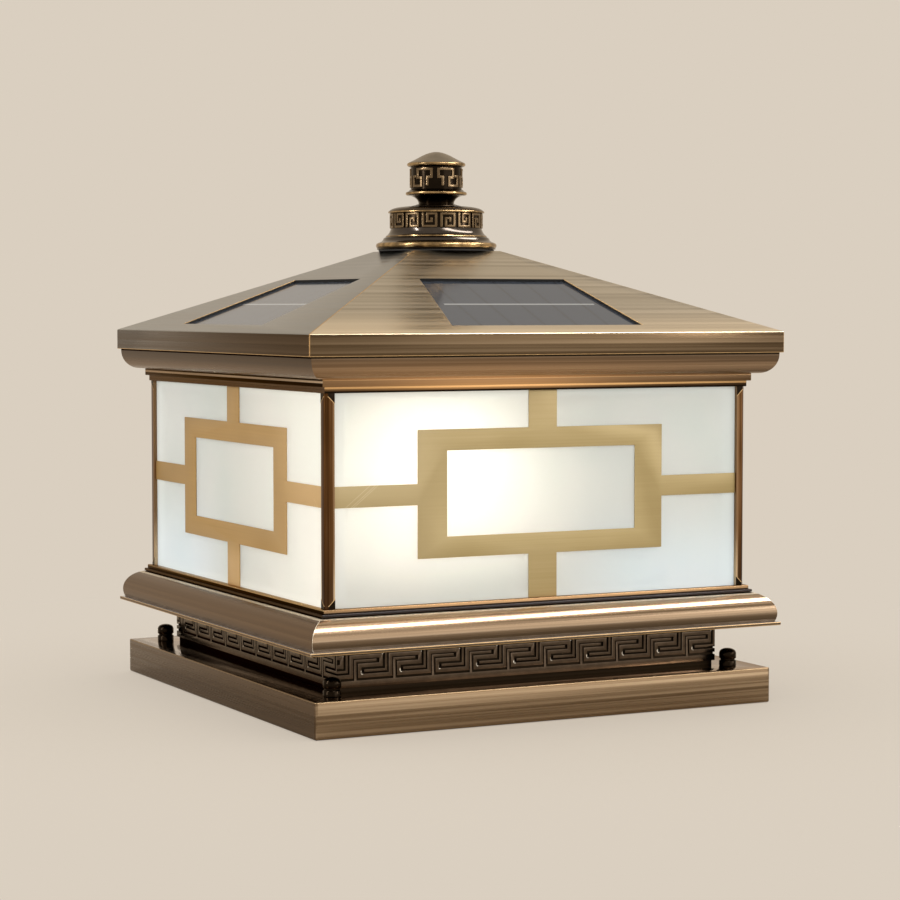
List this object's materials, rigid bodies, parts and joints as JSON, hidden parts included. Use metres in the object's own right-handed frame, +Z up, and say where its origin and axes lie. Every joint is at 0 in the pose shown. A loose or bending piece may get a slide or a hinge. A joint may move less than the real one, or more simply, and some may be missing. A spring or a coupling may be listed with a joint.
{
  "type": "solar pillar light",
  "caption": "Square pillar-top solar lantern: bronze plinth, frosted panes with brass frets, a hipped roof with solar panels and a turned finial.",
  "frame": {"origin": "middle of the plinth's underside, on the pillar's top", "axes": "+Z up; -Y is the front face, towards the wide side in the picture; -X is the narrow visible side"},
  "size_m": [0.31, 0.31, 0.3344],
  "materials": {
    "brushed_bronze": "brushed antique bronze plating",
    "dark_bronze": "dark bronze, glossy",
    "black_bronze": "black bronze with rubbed edges",
    "brushed_brass": "brushed brass",
    "frosted_pane": "frosted acrylic",
    "solar_cell": "laminated solar cell",
    "zinc_steel": "zinc plated",
    "white_paint": "white reflector paint",
    "aluminium": "turned",
    "opal_plastic": "opal",
    "black_plastic": "fine texture",
    "white_plastic": "smooth",
    "cell_wrap": "shrink wrap",
    "rubber": "moulded gasket"
  },
  "bodies": {
    "lantern": {"mounting_plate": "zinc_steel", "anchor_studs": "zinc_steel", "plinth": "brushed_bronze", "skirt": "brushed_bronze", "front_key_band": "dark_bronze", "right_key_band": "dark_bronze", "back_key_band": "dark_bronze", "left_key_band": "dark_bronze", "front_sill": "brushed_bronze", "right_sill": "brushed_bronze", "back_sill": "brushed_bronze", "left_sill": "brushed_bronze", "lower_frame": "brushed_bronze", "upper_frame": "brushed_bronze", "front_left_post": "dark_bronze", "front_right_post": "dark_bronze", "back_right_post": "dark_bronze", "back_left_post": "dark_bronze", "front_glass": "frosted_pane", "right_glass": "frosted_pane", "back_glass": "frosted_pane", "left_glass": "frosted_pane", "front_fret": "brushed_brass", "right_fret": "brushed_brass", "back_fret": "brushed_brass", "left_fret": "brushed_brass", "lamp_deck": "white_paint", "deck_screws": "zinc_steel", "lamp_column": "aluminium", "led_board": "white_paint", "lamp_diffuser": "opal_plastic", "battery_box": "black_plastic", "battery_cells": "cell_wrap", "controller_box": "black_plastic", "switch_body": "black_plastic", "cross_bar": "zinc_steel", "finial_stud": "zinc_steel", "front_left_collar": "black_bronze", "front_right_collar": "black_bronze", "back_right_collar": "black_bronze", "back_left_collar": "black_bronze"},
    "front_left_nut": {"front_left_nut": "black_bronze"},
    "front_right_nut": {"front_right_nut": "black_bronze"},
    "back_right_nut": {"back_right_nut": "black_bronze"},
    "back_left_nut": {"back_left_nut": "black_bronze"},
    "roof": {"eave_moulding": "brushed_bronze", "roof_floor": "white_paint", "roof_cap": "brushed_bronze", "front_roof_panel": "brushed_bronze", "right_roof_panel": "brushed_bronze", "back_roof_panel": "brushed_bronze", "left_roof_panel": "brushed_bronze", "front_solar_panel": "solar_cell", "right_solar_panel": "solar_cell", "back_solar_panel": "solar_cell", "left_solar_panel": "solar_cell"},
    "finial_gasket": {"finial_gasket": "rubber"},
    "finial": {"finial_base": "black_bronze", "finial_knob": "black_bronze"},
    "push_button": {"push_button": "white_plastic"}
  },
  "joints": [
    {"name": "front_left_nut_lift", "type": "slide", "parent": "lantern", "child": "front_left_nut", "axis": [0, 0, 1], "range_m": [0, 0.012]},
    {"name": "front_right_nut_lift", "type": "slide", "parent": "lantern", "child": "front_right_nut", "axis": [0, 0, 1], "range_m": [0, 0.012]},
    {"name": "back_right_nut_lift", "type": "slide", "parent": "lantern", "child": "back_right_nut", "axis": [0, 0, 1], "range_m": [0, 0.012]},
    {"name": "back_left_nut_lift", "type": "slide", "parent": "lantern", "child": "back_left_nut", "axis": [0, 0, 1], "range_m": [0, 0.012]},
    {"name": "roof_lift", "type": "slide", "parent": "lantern", "child": "roof", "axis": [0, 0, 1], "range_m": [0, 0.1]},
    {"name": "finial_lift", "type": "slide", "parent": "roof", "child": "finial_gasket", "axis": [0, 0, 1], "range_m": [0, 0.0094]},
    {"name": "finial_turn", "type": "hinge", "parent": "finial_gasket", "child": "finial", "pos_m": [0, 0, 0.2736], "axis": [0, 0, 1], "range_deg": [0, 2700]},
    {"name": "button_press", "type": "slide", "parent": "lantern", "child": "push_button", "axis": [0, -1, 0], "range_m": [0, 0.0015], "stiffness_N_per_m": 400, "springref_m": -0.0005}
  ],
  "couplings": [
    {"joint": "finial_lift", "follows": "finial_turn", "m_per_rad": 0.00019894}
  ]
}
